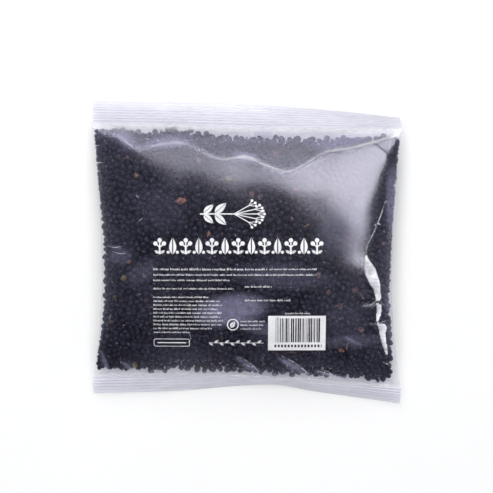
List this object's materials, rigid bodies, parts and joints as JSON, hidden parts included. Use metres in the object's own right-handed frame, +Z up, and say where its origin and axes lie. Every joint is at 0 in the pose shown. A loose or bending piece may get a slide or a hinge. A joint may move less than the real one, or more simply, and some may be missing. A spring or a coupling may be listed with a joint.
{
  "type": "bag of dried elderberries",
  "caption": "Clear film pillow bag of dried elderberries, closed by ribbed crimp seals at both ends and a fin seal down its back, lying flat on its back.",
  "frame": {"origin": "on the surface that the bag lies on, under the middle of its outline", "axes": "+X across the bag's width, +Y along its length to the top seal, +Z up from the surface through the printed front"},
  "size_m": [0.1994, 0.1969, 0.0375],
  "materials": {
    "clear_film": "glossy, slightly hazy clear film",
    "crimped_film": "two clear films welded together, ribbed and milky",
    "dried_berry": "wrinkled purple-black dried berries, satin to waxy",
    "stem": "dry brown woody stem"
  },
  "bodies": {
    "root": {"film_front": "clear_film", "film_back": "clear_film", "back_fin_seal": "clear_film", "top_crimp_seal": "crimped_film", "bottom_crimp_seal": "crimped_film", "berry_heap": "dried_berry", "loose_berry_top_01": "dried_berry", "loose_berry_top_02": "dried_berry", "loose_berry_top_03": "dried_berry", "loose_berry_top_04": "dried_berry", "loose_berry_top_05": "dried_berry", "loose_berry_top_06": "dried_berry", "loose_berry_top_07": "dried_berry", "loose_berry_top_08": "dried_berry", "loose_berry_top_09": "dried_berry", "loose_berry_top_10": "dried_berry", "loose_berry_top_11": "dried_berry", "loose_berry_top_12": "dried_berry", "loose_berry_top_13": "dried_berry", "loose_berry_top_14": "dried_berry", "loose_berry_top_15": "dried_berry", "loose_berry_top_16": "dried_berry", "loose_berry_top_17": "dried_berry", "loose_berry_top_18": "dried_berry", "loose_berry_top_19": "dried_berry", "loose_berry_top_20": "dried_berry", "loose_berry_bottom_01": "dried_berry", "loose_berry_bottom_02": "dried_berry", "loose_berry_bottom_03": "dried_berry", "loose_berry_bottom_04": "dried_berry", "loose_berry_bottom_05": "dried_berry", "loose_berry_bottom_06": "dried_berry", "loose_berry_bottom_07": "dried_berry", "loose_berry_bottom_08": "dried_berry", "loose_berry_bottom_09": "dried_berry", "loose_berry_bottom_10": "dried_berry", "loose_berry_bottom_11": "dried_berry", "loose_berry_bottom_12": "dried_berry", "loose_berry_bottom_13": "dried_berry", "loose_berry_bottom_14": "dried_berry", "loose_berry_bottom_15": "dried_berry", "loose_berry_bottom_16": "dried_berry", "loose_berry_bottom_17": "dried_berry", "loose_berry_bottom_18": "dried_berry", "loose_berry_bottom_19": "dried_berry", "loose_berry_bottom_20": "dried_berry", "stem_bit_1": "stem", "stem_bit_2": "stem", "stem_bit_3": "stem", "stem_bit_4": "stem"}
  },
  "joints": []
}
